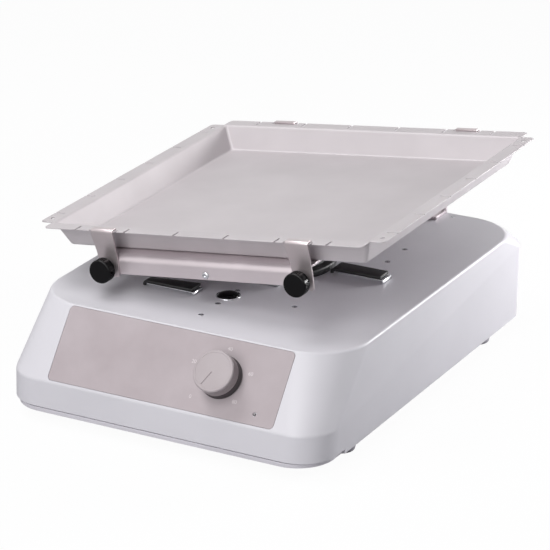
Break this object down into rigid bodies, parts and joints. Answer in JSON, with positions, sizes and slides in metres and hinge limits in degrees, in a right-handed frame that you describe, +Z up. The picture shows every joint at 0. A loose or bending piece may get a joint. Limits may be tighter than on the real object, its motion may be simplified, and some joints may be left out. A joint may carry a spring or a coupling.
{
  "type": "rocking shaker",
  "caption": "Analogue laboratory rocking shaker: a clipped tray seesaws on a pivoted platform above a sloping-front housing with one speed knob.",
  "frame": {"origin": "on the bench, under the middle of the bounding box in the stored pose; the rocking axis stands 4.5 mm to its right", "axes": "+Z up, -Y towards the user (control panel side), +X to the user's right; the rocking axis runs along Y"},
  "size_m": [0.3416, 0.4356, 0.1855],
  "materials": {
    "housing_plastic": "satin",
    "panel_film": "fine satin",
    "knob_plastic": "matt",
    "carrier_paint": "satin powder coat",
    "clip_steel": "satin",
    "tray_steel": "satin",
    "black_rubber": "matt",
    "black_plastic": "semi-gloss",
    "bright_steel": "bright",
    "grey_steel": "satin",
    "cast_aluminium": "cast",
    "brass": "turned",
    "board_green": "lacquered",
    "lamp_lens": "clear",
    "belt_rubber": "matt"
  },
  "bodies": {
    "housing": {"base_plate": "cast_aluminium", "housing_cover": "housing_plastic", "foot_front_left": "black_rubber", "foot_front_right": "black_rubber", "foot_back_left": "black_rubber", "foot_back_right": "black_rubber", "chassis_frame": "grey_steel", "control_panel": "panel_film", "speed_regulator": "grey_steel", "regulator_nut": "brass", "status_lamp": "lamp_lens", "access_plug": "black_plastic", "plug_ring": "housing_plastic", "front_pedestal": "cast_aluminium", "front_bush": "brass", "back_support": "carrier_paint", "back_bush": "brass", "lever_gaiter": "black_rubber", "right_strip_pad": "black_rubber", "right_strip_leaf": "bright_steel", "left_strip_pad": "black_rubber", "left_strip_leaf": "bright_steel", "crank_block_front": "cast_aluminium", "crank_block_back": "cast_aluminium", "crank_bearing_front": "bright_steel", "crank_bearing_back": "bright_steel", "motor_bracket": "grey_steel", "gear_motor": "grey_steel", "drive_belt": "belt_rubber", "control_board": "board_green", "transformer": "grey_steel", "power_inlet": "black_plastic", "switch_frame": "black_plastic", "fuse_holder": "black_plastic"},
    "platform": {"platform_carrier": "carrier_paint", "pivot_shaft": "bright_steel", "shaft_screw_front": "bright_steel", "shaft_screw_back": "bright_steel", "saddle_front": "cast_aluminium", "saddle_back": "cast_aluminium", "rocking_lever": "grey_steel", "tray": "tray_steel", "clip_front_left": "clip_steel", "clip_front_right": "clip_steel", "clip_back_left": "clip_steel", "clip_back_right": "clip_steel"},
    "crank": {"crank_disc": "grey_steel", "crank_pin": "bright_steel", "crank_roller": "bright_steel", "crank_shaft": "bright_steel", "crank_pulley": "cast_aluminium"},
    "motor_drive": {"motor_pulley": "brass"},
    "speed_control": {"speed_knob": "knob_plastic", "regulator_shaft": "grey_steel"},
    "power_switch": {"power_rocker": "black_plastic"},
    "clamp_front_left": {"thumb_screw_front_left": "black_plastic"},
    "clamp_front_right": {"thumb_screw_front_right": "black_plastic"},
    "clamp_back_left": {"thumb_screw_back_left": "black_plastic"},
    "clamp_back_right": {"thumb_screw_back_right": "black_plastic"}
  },
  "joints": [
    {"name": "platform_rock", "type": "hinge", "parent": "housing", "child": "platform", "pos_m": [0.0045, 0.0352, 0.1282], "axis": [0, 1, 0], "range_deg": [0, 14]},
    {"name": "crank_turn", "type": "hinge", "parent": "housing", "child": "crank", "pos_m": [0.0045, 0.0277, 0.0532], "axis": [0, 1, 0], "range_deg": [-166, 0]},
    {"name": "motor_turn", "type": "hinge", "parent": "housing", "child": "motor_drive", "pos_m": [0.0795, 0.0477, 0.045], "axis": [0, 1, 0], "range_deg": [-498.01, 0]},
    {"name": "speed_knob_turn", "type": "hinge", "parent": "housing", "child": "speed_control", "pos_m": [0.0555, -0.19209, 0.06697], "axis": [0, -0.7896, 0.6137], "range_deg": [-280, 0]},
    {"name": "power_rocker_tip", "type": "hinge", "parent": "housing", "child": "power_switch", "pos_m": [0.0045, 0.1961, 0.04], "axis": [1, 0, 0], "range_deg": [-16, 0]},
    {"name": "thumb_screw_front_left_turn", "type": "hinge", "parent": "platform", "child": "clamp_front_left", "pos_m": [-0.09212, -0.12945, 0.11916], "axis": [0, -1, 0], "continuous": true},
    {"name": "thumb_screw_front_right_turn", "type": "hinge", "parent": "platform", "child": "clamp_front_right", "pos_m": [0.10044, -0.12945, 0.1428], "axis": [0, -1, 0], "continuous": true},
    {"name": "thumb_screw_back_left_turn", "type": "hinge", "parent": "platform", "child": "clamp_back_left", "pos_m": [-0.09212, 0.19985, 0.11916], "axis": [0, 1, 0], "continuous": true},
    {"name": "thumb_screw_back_right_turn", "type": "hinge", "parent": "platform", "child": "clamp_back_right", "pos_m": [0.10044, 0.19985, 0.1428], "axis": [0, 1, 0], "continuous": true}
  ],
  "couplings": [
    {"joint": "crank_turn", "follows": "platform_rock", "ratio": -11.857},
    {"joint": "motor_turn", "follows": "platform_rock", "ratio": -35.571}
  ]
}
